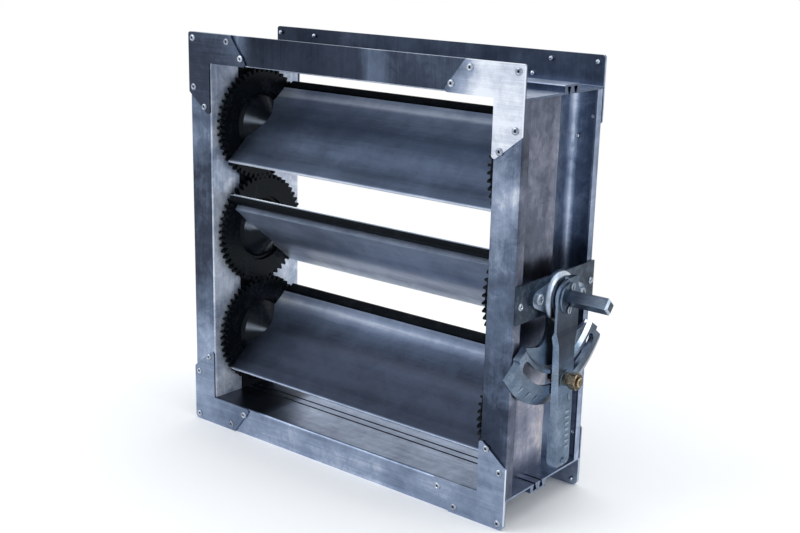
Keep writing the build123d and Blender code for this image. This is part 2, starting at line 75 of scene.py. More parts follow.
ahead = VIEW_AHEAD.normalized()
right = (VIEW_RIGHT - ahead * VIEW_RIGHT.dot(ahead)).normalized()
up = right.cross(ahead)
camera_data = bpy.data.cameras.new("camera")
camera_data.sensor_width = SENSOR_WIDTH
camera_data.lens = FOCAL_PIXELS / IMAGE_WIDTH * SENSOR_WIDTH
camera = bpy.data.objects.new("camera", camera_data)
bpy.context.scene.collection.objects.link(camera)
turn = Matrix((right, up, -ahead)).transposed().to_4x4()
camera.matrix_world = Matrix.Translation(CAMERA_PLACE) @ turn
bpy.context.scene.camera = camera
bpy.context.scene.view_settings.view_transform = "Standard"
print("lens:", round(camera_data.lens, 1), "mm")

# %% [markdown]
# Shader maths reads best as sums. A small class wraps an output socket, so that Python's own
# signs add Math nodes. The reflected forms let a plain number stand first, as in 1 - mask.

# %% Sockets in sums
class Signal:
    """An output socket that can be used in sums; every sum adds a Math node."""

    def __init__(self, owner, socket):
        self.owner = owner
        self.socket = socket

    def _maths(self, operation, first, second):
        return self.owner.node("ShaderNodeMath", {"operation": operation}, {0: first, 1: second})[0]

    def __add__(self, other):
        return self._maths("ADD", self, other)

    def __radd__(self, other):
        return self._maths("ADD", other, self)

    def __sub__(self, other):
        return self._maths("SUBTRACT", self, other)

    def __rsub__(self, other):
        return self._maths("SUBTRACT", other, self)

    def __mul__(self, other):
        return self._maths("MULTIPLY", self, other)

    def __rmul__(self, other):
        return self._maths("MULTIPLY", other, self)

    def __gt__(self, other):
        return self._maths("GREATER_THAN", self, other)

    def __lt__(self, other):
        return self._maths("LESS_THAN", self, other)


print("socket class:", Signal.__name__)

# %% [markdown]
# Materials and the world keep their nodes in a tree. One method makes every node of it. Settings
# such as an operation or the stops of a ramp come first, because they decide which sockets a
# node shows, and then each socket gets a value or a link.

# %% Node trees
class NodeTree:
    """The emptied node tree of a material or a world, which one method fills."""

    def __init__(self, holder):
        holder.use_nodes = True
        self.tree = holder.node_tree
        self.tree.nodes.clear()

    def node(self, kind, settings=None, sockets=None):
        """One node: settings first, then its sockets; returns its outputs as signals."""
        made = self.tree.nodes.new(kind)
        for setting, value in (settings or {}).items():
            if setting == "stops":
                self._ramp(made.color_ramp, value)
            else:
                setattr(made, setting, value)
        for key, value in (sockets or {}).items():
            if isinstance(value, Signal):
                self.tree.links.new(value.socket, made.inputs[key])
            else:
                made.inputs[key].default_value = value
        outputs = {}
        for index, socket in enumerate(made.outputs):
            outputs[index] = Signal(self, socket)
            outputs.setdefault(socket.name, outputs[index])
        return outputs

    def _ramp(self, ramp, stops):
        """Stops of (position, colour) in place of those that a new ramp has."""
        while len(ramp.elements) > 1:
            ramp.elements.remove(ramp.elements[-1])
        ramp.elements[0].position = stops[0][0]
        ramp.elements[0].color = (*stops[0][1], 1)
        for position, tone in stops[1:]:
            ramp.elements.new(position).color = (*tone, 1)


print("tree class:", NodeTree.__name__)

# %% [markdown]
# The finishes of this damper all ask the same few things: where a point lies on its solid, which
# way its face looks, how a noise runs there, and which tone a level from dark to bright means.
# Each question is a short method of a class that stands for one material.

# %% Finish class
class Finish(NodeTree):
    """A material under construction, with the nodes that its look needs."""

    def __init__(self, name):
        self.material = bpy.data.materials.new(name)
        super().__init__(self.material)
        coordinates = self.node("ShaderNodeTexCoord")
        self.place = coordinates["Object"]
        self.x, self.y, self.z = self.split(self.place)
        self.facing_x, self.facing_y, self.facing_z = self.split(coordinates["Normal"])

    def split(self, vector):
        """The three parts of a vector."""
        parts = self.node("ShaderNodeSeparateXYZ", None, {"Vector": vector})
        return parts[0], parts[1], parts[2]

    def scaled(self, factors):
        """Place on the solid, in metres, multiplied along each axis."""
        sockets = {0: self.place, 1: factors}
        return self.node("ShaderNodeVectorMath", {"operation": "MULTIPLY"}, sockets)[0]

    def noise(self, scale, detail=3.0, rough=0.55, factors=(1, 1, 1), distortion=0.0):
        """Soft noise around 0.5; scale is in waves for each metre."""
        sockets = {"Vector": self.scaled(factors), "Scale": scale, "Detail": detail}
        sockets.update({"Roughness": rough, "Distortion": distortion})
        return self.node("ShaderNodeTexNoise", None, sockets)["Fac"]

    def flakes(self, scale):
        """One random grey for each cell of a scattered pattern."""
        cells = self.node("ShaderNodeTexVoronoi", None, {"Vector": self.place, "Scale": scale})
        return self.split(cells["Color"])[0]

    def spread(self, signal, low, high, to_low=0.0, to_high=1.0):
        """A signal stretched from one range to another and kept inside it."""
        sockets = {"Value": signal, "From Min": low, "From Max": high}
        sockets.update({"To Min": to_low, "To Max": to_high})
        return self.node("ShaderNodeMapRange", {"clamp": True}, sockets)[0]

    def profile(self, signal, points):
        """A value that runs in straight lines through points of (signal, value)."""
        total = points[0][1]
        for (start, low), (end, high) in zip(points, points[1:]):
            total = total + self.spread(signal, start, end, 0.0, high - low)
        return total

    def choose(self, share, first, second):
        """The first value where the share is 0, the second where it is 1."""
        return first + (second - first) * share

    def ramp(self, level, stops):
        """The colour of a level from 0 to 1."""
        return self.node("ShaderNodeValToRGB", {"stops": stops}, {"Fac": level})["Color"]

    def tinted(self, tone, share, tint):
        """A colour multiplied by a tint where the share is 1."""
        colours = {0: share, 6: (1, 1, 1, 1), 7: (*tint, 1)}
        factors = self.node("ShaderNodeMix", {"data_type": "RGBA"}, colours)[2]
        return self.node("ShaderNodeVectorMath", {"operation": "MULTIPLY"}, {0: tone, 1: factors})[0]

    def bump(self, height, depth, strength=1.0, normal=None):
        """Relief of a height signal, with depth in metres for a height of 1."""
        sockets = {"Height": height, "Distance": depth, "Strength": strength}
        if normal is not None:
            sockets["Normal"] = normal
        return self.node("ShaderNodeBump", None, sockets)["Normal"]

    def finish(self, **sockets):
        """The surface itself; words in the names of sockets are joined by underscores."""
        values = {name.replace("_", " "): value for name, value in sockets.items()}
        surface = self.node("ShaderNodeBsdfPrincipled", None, values)
        self.node("ShaderNodeOutputMaterial", None, {"Surface": surface[0]})
        return self.material


print("finish class:", Finish.__name__)

# %% [markdown]
# Bright metal is mostly a mirror of the room, so under plain light the reflections and highlights
# that it would show are painted into its colour. One ramp holds every shade of this aluminium, from
# navy to near white, and each member says how high on the ramp each of its faces lies: this level
# is painted reflection. Noises then move that level, for where oil and hands have dulled the sheet
# and which way its rolling streaks run: broad clouds with smaller marks in them, long smears and
# fine streaks along the rolling direction, and bright specks. Each noise is given as waves for each
# metre, detail and roughness.

# %% Sheet aluminium
CLOUDS = (24, 5, 0.6)
MARKS = (75, 6, 0.7)
SMEARS = (120, 4, 0.65)
STREAKS = (1100, 3, 0.6)
SPECKS = (420, 3, 0.7)
WAVES = (16, 2, 0.5)
WAVE_DEPTH = 0.4 * MM
STREAK_DEPTH = 0.02 * MM
SHEET_STOPS = [
    (0.0, (0.016, 0.022, 0.038)),
    (0.25, (0.040, 0.053, 0.085)),
    (0.5, (0.110, 0.148, 0.225)),
    (0.75, (0.300, 0.365, 0.500)),
    (1.0, (0.800, 0.860, 0.960)),
]
STREAK_SQUEEZE = 0.03
WARM_TINT = (1.0, 0.86, 0.80)
RIM_X = 0.1797
RIM_Y = 0.0565
RIM_Z = 0.1847
RIM_HIGHLIGHT_LIFT = 0.35
MARK_SHARE = 0.6
STREAK_LIFT = 0.16
SPECK_LIFT = 0.10


def squeezed(axis):
    """Factors that make a noise long along one axis."""
    return tuple(STREAK_SQUEEZE if index == axis else 1.0 for index in range(3))


def painted_rim_highlight(metal):
    """1 on the outermost edges of the flanges and their plates, which get a painted highlight."""
    around = (metal.x > RIM_X) + (metal.x < -RIM_X) + (metal.z > RIM_Z) + (metal.z < -RIM_Z)
    return around * ((metal.y < -RIM_Y) + (metal.y > RIM_Y))


def sheet_metal(name, axis, level_of, cloudy=0.8, smeared=0.2, rough=0.20, matt_of=None, warm_of=None):
    """Rolled sheet whose streaks run along an axis; some of it can be matt or warmer in tone."""
    metal = Finish(name)
    clouds = metal.noise(*CLOUDS)
    marks = metal.noise(*MARKS, distortion=1.0)
    smears = metal.noise(*SMEARS, squeezed(axis), 0.4)
    streaks = metal.noise(*STREAKS, squeezed(axis))
    specks = metal.spread(metal.noise(*SPECKS), 0.66, 0.74)
    # The level that level_of gives is painted reflection: the light and shade that each face would
    # mirror.
    level = level_of(metal) + (clouds - 0.5) * cloudy + (smears - 0.5) * smeared
    level = level + (marks - 0.5) * cloudy * MARK_SHARE + (streaks - 0.5) * STREAK_LIFT
    # The outermost rims are lifted as a painted highlight.
    level = level + specks * SPECK_LIFT + painted_rim_highlight(metal) * RIM_HIGHLIGHT_LIFT
    roughness = rough + clouds * 0.14 + streaks * 0.12
    relief = metal.bump(metal.noise(*WAVES), WAVE_DEPTH)
    relief = metal.bump(streaks, STREAK_DEPTH, 0.5, relief)
    tone = metal.ramp(level, SHEET_STOPS)
    if warm_of:
        tone = metal.tinted(tone, warm_of(metal), WARM_TINT)
    metallic = 1.0 - matt_of(metal) if matt_of else 1.0
    return metal.finish(Base_Color=tone, Metallic=metallic, Roughness=roughness, Normal=relief)


print("shades of sheet:", len(SHEET_STOPS))

# %% [markdown]
# The four members of the frame come from one rolled sheet, but they lie differently in the room,
# so each mirrors it differently. The level of each is painted reflection, given along its length as
# points of place and level, with other levels, painted light, for the faces that look up, outward or
# back.

# %% Levels of the four members
FACING = (0.4, 0.6)
REAR_FLANGE_Y = 0.050
LIP_X = 0.178


def top_level(metal):
    """Painted reflection: front navy at the left and slate at the right; faces that look up or down are
    painted brighter.
    """
    front = metal.profile(metal.x, [(-0.18, 0.0), (-0.02, 0.14), (0.08, 0.28), (0.17, 0.44)])
    upward = metal.spread(metal.facing_z, *FACING)
    inside = metal.spread(metal.facing_z, -FACING[1], -FACING[0], 1.0, 0.0)
    patch = metal.profile(metal.x, [(0.020, 0.0), (0.031, 0.24), (0.043, 0.22), (0.054, 0.0)])
    corner = metal.profile(metal.x, [(-0.126, 0.0), (-0.119, 0.42), (-0.112, 0.30), (-0.100, 0.0)])
    rear = metal.profile(metal.x, [(-0.150, 0.06), (-0.050, 0.30), (0.100, 0.16), (0.165, -0.10)])
    marks = (patch + corner) * (metal.y < -REAR_FLANGE_Y)
    # The faces that look up or down are lifted as painted light.
    return front + upward * 0.34 + inside * 0.75 + marks + rear * (metal.y > REAR_FLANGE_Y)


def bottom_level(metal):
    """Grey-blue front, painted reflection; the side that faces up into the duct is darker to the left, as
    painted shade.
    """
    front = metal.profile(metal.x, [(-0.18, 0.78), (0.0, 0.74), (0.18, 0.70)])
    inside = metal.profile(metal.x, [(-0.16, 0.16), (-0.099, 0.20), (-0.087, 0.66), (0.15, 0.62)])
    return metal.choose(metal.spread(metal.facing_z, *FACING), front, inside)


def left_level(metal):
    """Painted reflection: front flange darkest at its middle; the web behind the gears is painted pale,
    as painted light.
    """
    points = [(-0.15, 0.70), (-0.11, 0.76), (-0.04, 0.24), (0.03, 0.18), (0.09, 0.50), (0.15, 0.46)]
    front = metal.profile(metal.z, points)
    return metal.choose(metal.spread(metal.facing_x, *FACING), front, 0.86)


def left_matt(metal):
    """The web behind the gears is partly matt, so that it scatters light."""
    return metal.spread(metal.facing_x, *FACING) * 0.65


def right_web(metal):
    """Outward faces, painted reflection: pale behind the recess, brighter at the bottom, with a level for
    the lips.
    """
    front_side = [(-0.056, 0.48), (-0.030, 0.50), (-0.0215, 0.46), (0.010, 0.52)]
    # The last points paint a highlight along the bend into the rear flange.
    rear_side = [(0.0208, 0.62), (0.0222, 0.84), (0.046, 0.80), (0.050, 1.02)]
    across = metal.profile(metal.y, front_side + rear_side)
    lower = [(-0.15, 0.22), (-0.09, 0.24), (-0.02, -0.06)]
    upper = [(0.05, 0.02), (0.11, 0.08), (0.157, -0.06)]
    along = metal.profile(metal.z, lower + upper)
    lip = metal.profile(metal.y, [(-0.05, 0.46), (0.05, 0.66)])
    return metal.choose(metal.x > LIP_X, across + along, lip)


def right_level(metal):
    """Painted reflection: front flange brightest near its top, slate rear flange, and the web between
    them.
    """
    points = [(-0.13, 0.26), (-0.09, 0.24), (-0.04, 0.33), (0.02, 0.45), (0.08, 0.70), (0.13, 0.56)]
    front = metal.profile(metal.z, points)
    outward = right_web(metal)
    web = metal.choose(metal.spread(metal.facing_x, *FACING), front, outward)
    rear = metal.profile(metal.z, [(-0.15, 0.70), (-0.05, 0.58), (0.05, 0.50), (0.15, 0.52)])
    # A painted highlight along the rear flange, next to its bend.
    rear = rear + metal.profile(metal.x, [(0.1555, 0.40), (0.1600, 0.0)])
    return metal.choose((metal.y > REAR_FLANGE_Y) * (metal.facing_y < -FACING[0]), web, rear)


def right_warmth(metal):
    """The web has a faint mauve tone, from its front edge to the rear of the recess."""
    return metal.spread(metal.facing_x, *FACING) * metal.spread(metal.y, 0.018, 0.022, 1.0, 0.0)


frame_finishes = {
    "frame_top": sheet_metal("top_member", 2, top_level, 0.4, 0.18),
    "frame_bottom": sheet_metal("bottom_member", 0, bottom_level, 0.5, 0.3),
    "frame_left": sheet_metal("left_member", 2, left_level, matt_of=left_matt),
    "frame_right": sheet_metal("right_member", 2, right_level, warm_of=right_warmth),
}
print("frame finishes:", len(frame_finishes))

# %% [markdown]
# Each stamped front corner plate mirrors the room in its own way, so each has levels of its own,
# as painted reflection. The upper right one is painted almost white towards its corner, a painted
# highlight, and the upper left one is the darkest. The four rear plates share one grey.

# %% Corner plates
PLATE_LEVELS = {
    "corner_plate_front_top_right": [(0.108, 0.50), (0.128, 0.72), (0.142, 0.94)],
    "corner_plate_front_top_left": [(-0.180, 0.20), (-0.110, 0.34)],
    "corner_plate_front_bottom_right": [(0.110, 0.74), (0.180, 0.66)],
    "corner_plate_front_bottom_left": [(-0.180, 0.66), (-0.110, 0.60)],
    "corner_plate_rear": [(-0.180, 0.46), (0.180, 0.40)],
}


def plate_finish(name, points):
    """Stamped plate with its painted reflection as levels along the duct's width."""

    def level_of(metal):
        return metal.profile(metal.x, points)

    return sheet_metal(name + "_sheet", 0, level_of, 0.45, 0.3, 0.18)


plate_finishes = {name: plate_finish(name, points) for name, points in PLATE_LEVELS.items()}
print("plate finishes:", len(plate_finishes))

# %% [markdown]
# The blades are extruded, with drawing lines along their length and a soft cloudiness. Their levels
# up the height are painted reflection, and each one has painted highlights: a brighter strip where
# its skin turns up to the lip and a bright line along its lower edge. It is paler at its end by the left
# gears.

# %% Blades
BLADE_LEVELS = {
    "blade_top": [
        (0.022, 1.0), (0.045, 0.40), (0.50, 0.36), (0.72, 0.52), (0.86, 0.66), (0.90, 1.0), (0.96, 0.8),
    ],
    "blade_middle": [
        (0.0, 0.96), (0.04, 0.86), (0.22, 0.78), (0.50, 0.64), (0.75, 0.58), (0.90, 0.62), (0.95, 1.0),
    ],
    "blade_bottom": [
        (0.022, 0.85), (0.045, 0.10), (0.40, 0.08), (0.60, 0.22), (0.80, 0.48), (0.90, 0.84), (0.96, 0.6),
    ],
}
BLADE_MATT = [(0.50, 0.1), (0.80, 0.5)]


def blade_finish(name, points):
    """Drawn aluminium of a blade, with its painted reflection as levels at shares of its height."""
    heights = [corner[2] for corner in nodes[name].bound_box]
    low, high = min(heights), max(heights)

    def level_of(metal):
        left_end = metal.profile(metal.x, [(-0.146, 0.14), (-0.105, 0.0)])
        return metal.profile(metal.spread(metal.z, low, high), points) + left_end

    def matt_of(metal):
        return metal.profile(metal.spread(metal.z, low, high), BLADE_MATT)

    return sheet_metal(name + "_metal", 0, level_of, 0.30, 0.16, 0.30, matt_of)


blade_finishes = {name: blade_finish(name, points) for name, points in BLADE_LEVELS.items()}
print("blade finishes:", len(blade_finishes))

# %% [markdown]
# The gears are moulded in black plastic. Moulded plastic is never quite black: it has a faint
# orange peel, a light bloom of dust, and a satin shine. The cone of each gear is a little lighter
# and carries a painted highlight along one side. The sealing strips and the bearing strips are made
# the same way, only duller, and the middle seal has a pale rim along its top.

# %% Black plastic and seal rubber
GRAIN = (1400, 2, 0.5)
GRAIN_DEPTH = 0.02 * MM
DUST = (70, 5, 0.7)
GEAR_FACE_X = 0.1456
BLADE_PITCH = 0.1
CONE_LEVEL = 0.10
SEAL_RIM = 0.7 * MM
SEAL_RIM_LEVEL = 0.9
NO_RIM_Z = 1.0
PLASTIC_TINT = (0.72, 0.86, 1.0, 1.0)
PLASTIC_STOPS = [
    (0.0, (0.0030, 0.0042, 0.0058)),
    (0.4, (0.020, 0.025, 0.032)),
    (1.0, (0.30, 0.34, 0.40)),
]


def black_plastic(name, level_of, rough, shine):
    """Satin black plastic with a fine grain and a little dust."""
    plastic = Finish(name)
    grain = plastic.noise(*GRAIN)
    dust = plastic.spread(plastic.noise(*DUST), 0.52, 0.78)
    return plastic.finish(
        Base_Color=plastic.ramp(level_of(plastic) + dust * 0.25, PLASTIC_STOPS),
        Roughness=rough + dust * 0.15,
        Specular_IOR_Level=shine,
        Specular_Tint=PLASTIC_TINT,
        Normal=plastic.bump(grain, GRAIN_DEPTH, 0.4),
    )


def gear_level(plastic):
    """Black teeth and rim; the cone that carries the blade is lighter, with a painted highlight along one
    side.
    """
    cone = (plastic.x > -GEAR_FACE_X) * (plastic.x < GEAR_FACE_X)
    wrap = {0: plastic.z, 1: BLADE_PITCH / 2, 2: -BLADE_PITCH / 2}
    from_axis = plastic.node("ShaderNodeMath", {"operation": "WRAP"}, wrap)[0]
    around = {0: from_axis, 1: 0.0 - plastic.y}
    turned = plastic.node("ShaderNodeMath", {"operation": "ARCTAN2"}, around)[0]
    # A painted highlight on one side of the cone, at a fixed turn round the axis.
    painted_flank_highlight = plastic.profile(turned, [(0.0, 0.0), (0.26, 0.78), (0.36, 0.60), (0.62, 0.0)])
    return cone * (CONE_LEVEL + painted_flank_highlight)


def seal_rubber(name, rim_z):
    """Rubber that is almost black, with a pale rim above a height."""
    return black_plastic(name, lambda rubber: (rubber.z > rim_z) * SEAL_RIM_LEVEL, 0.5, 0.05)


gear_plastic = black_plastic("gear_plastic", gear_level, 0.24, 0.12)
strip_plastic = black_plastic("bearing_strip_plastic", lambda plastic: 0.0, 0.5, 0.2)
middle_top = max(corner[2] for corner in nodes["blade_seal_middle"].bound_box)
seal_finishes = {
    "blade_seal": seal_rubber("plain_seal", NO_RIM_Z),
    "blade_seal_middle": seal_rubber("rimmed_seal", middle_top - SEAL_RIM),
}
print("seal finishes:", len(seal_finishes), "top of the middle seal:", round(middle_top, 4))

# %% [markdown]
# The lever and the quadrant are zinc castings. A casting has a dull grey skin with a fine pebble
# grain and soft patches. Painted highlights make it brighter on the side of the lever, on the hub
# of the quadrant and at one end of the sector's inner bevel.

# %% Castings
PEBBLE = (620, 4, 0.6)
PEBBLE_DEPTH = 0.16 * MM
PATCHES = (60, 5, 0.65)
FLECKS = (900, 2, 0.6)
LEVER_LIT_SIDE_LEVEL = 0.82
LEVER_SIDE_MATT = 0.6
CAST_STOPS = [
    (0.0, (0.012, 0.017, 0.026)),
    (0.25, (0.034, 0.050, 0.075)),
    (0.5, (0.120, 0.168, 0.235)),
    (0.75, (0.330, 0.400, 0.500)),
    (1.0, (0.820, 0.880, 0.960)),
]
COOL_TINT = (0.80, 0.95, 1.12)


def cast_zinc(name, level_of, cool_of=None, matt_of=None):
    """Dull cast skin with a pebble grain and rubbed patches; parts can be cooler or matt."""
    cast = Finish(name)
    pebble = cast.noise(*PEBBLE)
    patches = cast.noise(*PATCHES)
    flecks = cast.spread(cast.noise(*FLECKS), 0.62, 0.70)
    level = level_of(cast) + (patches - 0.5) * 0.6 + (pebble - 0.5) * 0.2 + flecks * 0.06
    tone = cast.ramp(level, CAST_STOPS)
    if cool_of:
        tone = cast.tinted(tone, cool_of(cast), COOL_TINT)
    return cast.finish(
        Base_Color=tone,
        Metallic=1.0 - matt_of(cast) if matt_of else 1.0,
        Roughness=0.30 - (patches - 0.5) * 0.2,
        Normal=cast.bump(pebble, PEBBLE_DEPTH, 0.4),
    )


def lever_side(cast):
    """1 on the side of the lever that faces upstream."""
    return cast.spread(cast.facing_y, -0.8, -0.4, 1.0, 0.0)


def lever_matt(cast):
    """The side is partly matt, so that it scatters light instead of mirroring it."""
    return lever_side(cast) * LEVER_SIDE_MATT


def lever_level(cast):
    """Dark upper plate, lighter grip, and a side painted pale as painted light."""
    grip = [(-0.145, 0.54), (-0.090, 0.48), (-0.060, 0.34)]
    plate = [(-0.040, 0.08), (-0.026, 0.06), (-0.008, 0.34)]
    # The side that faces the front is painted pale, as painted light.
    return cast.choose(lever_side(cast), cast.profile(cast.z, grip + plate), LEVER_LIT_SIDE_LEVEL)


def lever_coolness(cast):
    """The flat face of the dark upper plate is the bluest part of the lever, the side comes next."""
    plate = cast.profile(cast.z, [(-0.090, 0.15), (-0.060, 1.0), (-0.026, 1.0), (-0.008, 0.0)])
    return plate * cast.spread(cast.facing_x, 0.90, 0.98) + lever_side(cast) * 0.8


def quadrant_level(cast):
    """Grey casting with a painted highlight on its hub; at its right end the bevel has a painted
    highlight and the face painted shade.
    """
    right_end = cast.spread(cast.y, 0.030, 0.036)
    bevel = right_end * cast.spread(cast.facing_z, 0.15, 0.3)
    face = right_end * cast.spread(cast.facing_x, 0.9, 0.98)
    hub = cast.spread(cast.z, -0.023, -0.018) * cast.spread(cast.x, 0.184, 0.186)
    # The bevel and the hub get painted highlights and the face painted shade.
    return 0.50 + bevel * 0.30 - face * 0.20 + hub * 0.30


lever_casting = cast_zinc("lever_casting", lever_level, lever_coolness, lever_matt)
quadrant_casting = cast_zinc("quadrant_casting", quadrant_level)
print("castings:", lever_casting.name, quadrant_casting.name)

# %% [markdown]
# The small metal pieces come in three coats. The strip behind the quadrant is galvanised, with
# soft flat flakes. The shaft, the screws and the rivets are plain and bright. The lock bolt, its
# collar and its nut have a yellow passivation that shifts between brown and straw.

# %% Strip, shaft and fasteners
DRAWN = (1500, 3, 0.6)
DRAWN_DEPTH = 0.03 * MM
DRAWN_ROUGH = 0.12
FLAKES = 260
FLAKE_DEPTH = 0.06 * MM
END_FACING = 0.9


def galvanised():
    """Dark strip with flat zinc flakes."""
    strip = Finish("galvanised_strip")
    flakes = strip.flakes(FLAKES)
    level = 0.19 + flakes * 0.14 + (strip.noise(50, 4) - 0.5) * 0.5
    return strip.finish(
        Base_Color=strip.ramp(level, CAST_STOPS),
        Metallic=1.0,
        Roughness=0.32 + flakes * 0.1,
        Normal=strip.bump(strip.noise(300, 3), FLAKE_DEPTH, 0.5),
    )


def plated_steel(name, low, high, rough, dull_end=0.0):
    """Bright metal with a fine drawn texture; faces at the end of a bolt can be duller."""
    steel = Finish(name)
    drawn = steel.noise(*DRAWN, squeezed(0))
    cloud = steel.spread(steel.noise(140, 3), 0.35, 0.65) - (steel.facing_x > END_FACING) * dull_end
    return steel.finish(
        Base_Color=steel.ramp(cloud, [(0.0, low), (1.0, high)]),
        Metallic=1.0,
        Roughness=rough + drawn * DRAWN_ROUGH,
        Normal=steel.bump(drawn, DRAWN_DEPTH, 0.5),
    )


def bar_steel():
    """Blue-grey square bar, with a painted highlight on the chamfers of its end and painted shade on its
    end face.
    """
    bar = Finish("shaft_steel")
    drawn = bar.noise(*DRAWN, squeezed(0))
    chamfer_highlight = bar.spread(bar.facing_x, 0.3, 0.5) * (bar.facing_x < END_FACING)
    end = bar.facing_x > END_FACING
    # The chamfers get a painted highlight and the end face painted shade.
    level = 0.56 + (drawn - 0.5) * 0.4 + (bar.noise(60, 3) - 0.5) * 0.4 + chamfer_highlight * 0.2 - end * 0.3
    return bar.finish(
        Base_Color=bar.ramp(level, CAST_STOPS),
        Metallic=1.0,
        Roughness=0.24 + drawn * DRAWN_ROUGH,
        Normal=bar.bump(drawn, DRAWN_DEPTH, 0.5),
    )


strip_metal = galvanised()
shaft_steel = bar_steel()
screw_steel = plated_steel("screw_steel", (0.16, 0.20, 0.25), (0.42, 0.48, 0.56), 0.24)
rivet_metal = plated_steel("rivet_metal", (0.18, 0.21, 0.27), (0.50, 0.56, 0.66), 0.16)
yellow_steel = plated_steel("yellow_plated_steel", (0.07, 0.048, 0.024), (0.56, 0.46, 0.32), 0.20, 0.8)
# The eye of each rivet is near black, partly painted shade in its pit.
pit_shade_metal = plated_steel("mandrel_end", (0.012, 0.014, 0.018), (0.035, 0.04, 0.05), 0.45)
small_metals = [strip_metal, shaft_steel, screw_steel, rivet_metal, yellow_steel, pit_shade_metal]
print("small metals:", ", ".join(material.name for material in small_metals))

# %% [markdown]
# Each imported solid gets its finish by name. Its faces are shaded smooth, because the solid keeps
# separate points along its sharp edges, so only the round faces change.

# %% Finish of each solid
FINISHES = {
    **frame_finishes,
    **plate_finishes,
    **blade_finishes,
    **seal_finishes,
    "gear": gear_plastic,
    "bearing_strip": strip_plastic,
    "rivets": rivet_metal,
    "mounting_strip_rivets": rivet_metal,
    "mounting_strip": strip_metal,
    "locking_quadrant": quadrant_casting,
    "lever_clamp_screw": screw_steel,
    "lever": lever_casting,
    "quadrant_screws": screw_steel,
    "drive_shaft": shaft_steel,
    "lock": yellow_steel,
}


def finish_of(name):
    """The finish with the longest name that the node's name starts with."""
    keys = [key for key in FINISHES if name.startswith(key)]
    return FINISHES[max(keys, key=len)]


for name, solid in nodes.items():
    solid.data.materials.clear()
    solid.data.materials.append(finish_of(name))
    solid.data.shade_smooth()
print("finishes:", len(set(FINISHES.values())))

# %% [markdown]
# A blind rivet has a domed head with a pit in its middle, where the broken mandrel sits, and on the
# far side a short bulging tail. The eye is painted near black: partly the mandrel's dark end, partly
# painted shade in the pit. The imported rivets are plain, so each is replaced by a turned form: a
# half section swept round the axis. Their places are read from the islands of the imported mesh, so
# they need no list of their own.

# %% Rivets
RIVET_TURNS = 20
DOME_STEPS = 5
HEAD_RADIUS = 3.15 * MM
HEAD_HEIGHT = 1.25 * MM
HEAD_RIM = 0.15 * MM
HEAD_LIFT = 0.05 * MM
EYE_RADIUS = 1.4 * MM
EYE_FLOOR_SHARE = 0.9
EYE_DEPTH = 0.8 * MM
SHANK_RADIUS = 1.6 * MM
SHANK_SHARE = 0.55
TAIL_RADIUS = 2.05 * MM
TAIL_WIDEST_SHARE = 0.72
TAIL_END_SHARE = 0.94
TAIL_END_TAPER = 0.8


def islands(mesh):
    """The groups of joined vertices of a mesh, each as a list of places."""
    parent = list(range(len(mesh.vertices)))

    def root(index):
        while parent[index] != index:
            parent[index] = parent[parent[index]]
            index = parent[index]
        return index

    same = {}
    for vertex in mesh.vertices:
        key = tuple(round(value, 6) for value in vertex.co)
        parent[root(vertex.index)] = root(same.setdefault(key, vertex.index))
    for edge in mesh.edges:
        parent[root(edge.vertices[0])] = root(edge.vertices[1])
    groups = {}
    for vertex in mesh.vertices:
        groups.setdefault(root(vertex.index), []).append(vertex.co.copy())
    return list(groups.values())


def rivet_section(length):
    """Half section as (radius, height, is it the dark eye): pit, dome, shank and tail."""
    eye_floor = HEAD_HEIGHT - EYE_DEPTH
    section = [(0.0, eye_floor, True), (EYE_RADIUS * EYE_FLOOR_SHARE, eye_floor, True)]
    for step in range(DOME_STEPS + 1):
        turn = step / DOME_STEPS * pi / 2
        radius = EYE_RADIUS + (HEAD_RADIUS - EYE_RADIUS) * sin(turn)
        section.append((radius, HEAD_RIM + (HEAD_HEIGHT - HEAD_RIM) * cos(turn), False))
    section += [(HEAD_RADIUS, 0.0, False), (SHANK_RADIUS, 0.0, False)]
    section.append((SHANK_RADIUS, -length * SHANK_SHARE, False))
    section.append((TAIL_RADIUS, -length * TAIL_WIDEST_SHARE, False))
    section.append((TAIL_RADIUS * TAIL_END_TAPER, -length * TAIL_END_SHARE, False))
    section.append((0.0, -length, False))
    return section


def lathe(section, place, axis, verts, faces, dark):
    """Add a half section, turned round an axis through a place, to lists of a mesh."""
    side = axis.orthogonal().normalized()
    other = axis.cross(side)
    rings = []
    for radius, height, _ in section:
        ring = []
        for turn in range(RIVET_TURNS if radius > 0 else 1):
            angle = 2 * pi * turn / RIVET_TURNS
            ring.append(len(verts))
            verts.append(place + axis * height + (side * cos(angle) + other * sin(angle)) * radius)
        rings.append(ring)
    for index, (lower, upper) in enumerate(zip(rings, rings[1:])):
        for turn in range(RIVET_TURNS):
            after = (turn + 1) % RIVET_TURNS
            a, b = lower[turn % len(lower)], lower[after % len(lower)]
            c, d = upper[after % len(upper)], upper[turn % len(upper)]
            faces.append(list(dict.fromkeys((a, b, c, d))))
            dark.append(section[index][2] and section[index + 1][2])


def piece(name, verts, faces, materials, body):
    """A mesh that rides on a body, with its finishes."""
    mesh = bpy.data.meshes.new(name)
    mesh.from_pydata(verts, [], faces)
    mesh.update()
    for material in materials:
        mesh.materials.append(material)
    made = bpy.data.objects.new(name, mesh)
    bpy.context.scene.collection.objects.link(made)
    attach(made, body)
    return made


